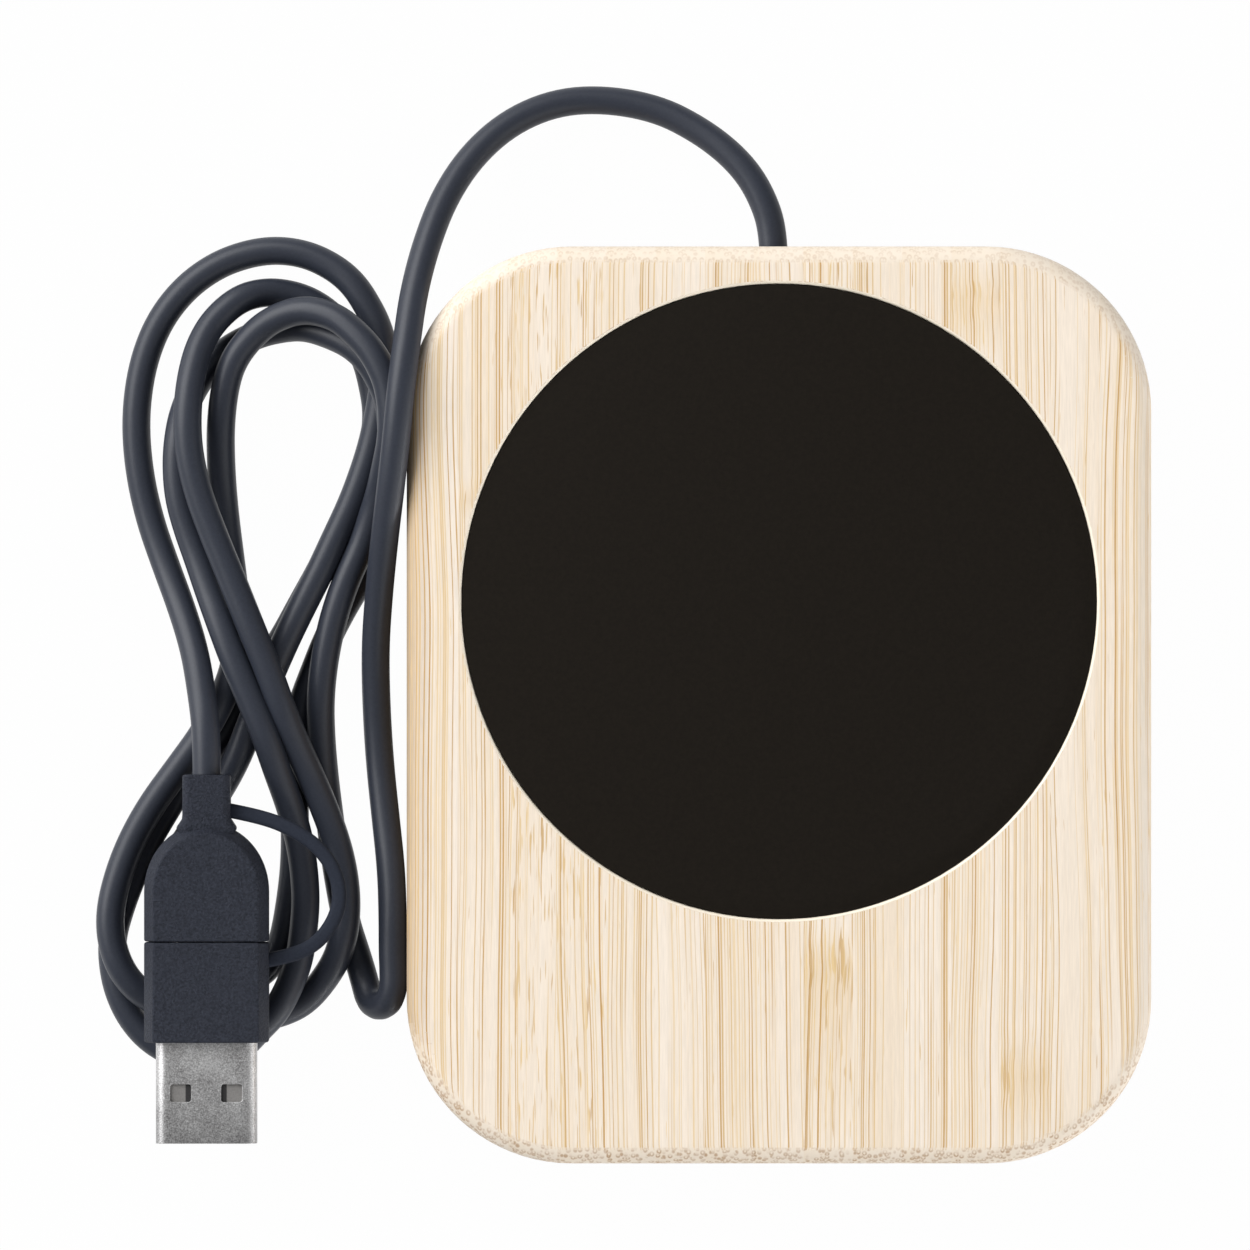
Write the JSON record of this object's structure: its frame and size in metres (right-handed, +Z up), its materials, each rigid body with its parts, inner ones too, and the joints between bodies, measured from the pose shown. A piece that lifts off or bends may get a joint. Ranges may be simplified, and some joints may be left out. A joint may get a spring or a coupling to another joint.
{
  "type": "electric mug warmer",
  "caption": "USB mug warmer: rounded bamboo block with a flush round heating plate, a figure-eight bundled cord and a USB-C plug with a tethered USB-A adapter that pulls off.",
  "frame": {"origin": "bottom centre of the warmer without its cord, on the table under the rubber feet", "axes": "+X to the right seen from the front, +Y from the front to the wall that the cord leaves, +Z up"},
  "size_m": [0.1251, 0.1285, 0.0166],
  "materials": {
    "bamboo": "clear satin lacquer over pale laminated bamboo",
    "plate_black": "matte brownish-black heat-resistant coating on steel",
    "seal_rubber": "black silicone foam tape",
    "foil_amber": "amber polyimide film with an etched heater",
    "felt_grey": "pressed glass-fibre felt",
    "sheet_aluminium": "mill finish sheet",
    "screw_steel": "zinc-plated",
    "cover_black": "fine texture",
    "foot_rubber": "matte",
    "board_green": "solder mask on glass-epoxy board",
    "component_black": "moulded epoxy",
    "sensor_glaze": "dipped bead",
    "fuse_metal": "tinned",
    "lead_red": "insulation",
    "lead_black": "insulation",
    "lead_white": "heat-resistant insulation",
    "cord_charcoal": "soft satin jacket",
    "grommet_black": "matte",
    "plug_charcoal": "fine spark-eroded texture",
    "strap_charcoal": "satin",
    "nickel": "nickel-plated, lightly mottled",
    "insulator_black": "moulded",
    "insulator_white": "moulded",
    "contact_gold": "gold-plated"
  },
  "bodies": {
    "warmer": {"bamboo_body": "bamboo", "heating_plate": "plate_black", "plate_seal": "seal_rubber", "heater_foil": "foil_amber", "insulation_felt": "felt_grey", "retaining_plate": "sheet_aluminium", "fuse_clip": "sheet_aluminium", "cord_crimp": "sheet_aluminium", "retaining_screws": "screw_steel", "cover_screws": "screw_steel", "board_screws": "screw_steel", "bottom_cover": "cover_black", "rubber_feet": "foot_rubber", "control_board": "board_green", "board_components": "component_black", "thermistor": "sensor_glaze", "thermal_fuse": "fuse_metal", "supply_lead_red": "lead_red", "supply_lead_black": "lead_black", "heater_leads": "lead_white", "sensor_leads": "lead_white", "cord_inner": "cord_charcoal", "cord_tube": "cord_charcoal", "cord_hank": "cord_charcoal", "cord_plug_end": "cord_charcoal", "cord_grommet": "grommet_black", "plug_overmold": "plug_charcoal", "tether_strap": "strap_charcoal", "usb_c_shell": "nickel", "usb_c_core": "insulator_black"},
    "usb_a_adapter": {"adapter_housing": "plug_charcoal", "usb_c_receptacle": "nickel", "receptacle_tongue": "insulator_black", "adapter_board": "board_green", "usb_a_shell": "nickel", "usb_a_insulator": "insulator_white", "usb_a_contacts": "contact_gold"}
  },
  "joints": [
    {"name": "adapter_pull", "type": "slide", "parent": "warmer", "child": "usb_a_adapter", "axis": [0, -1, 0], "range_m": [0, 0.009]}
  ]
}
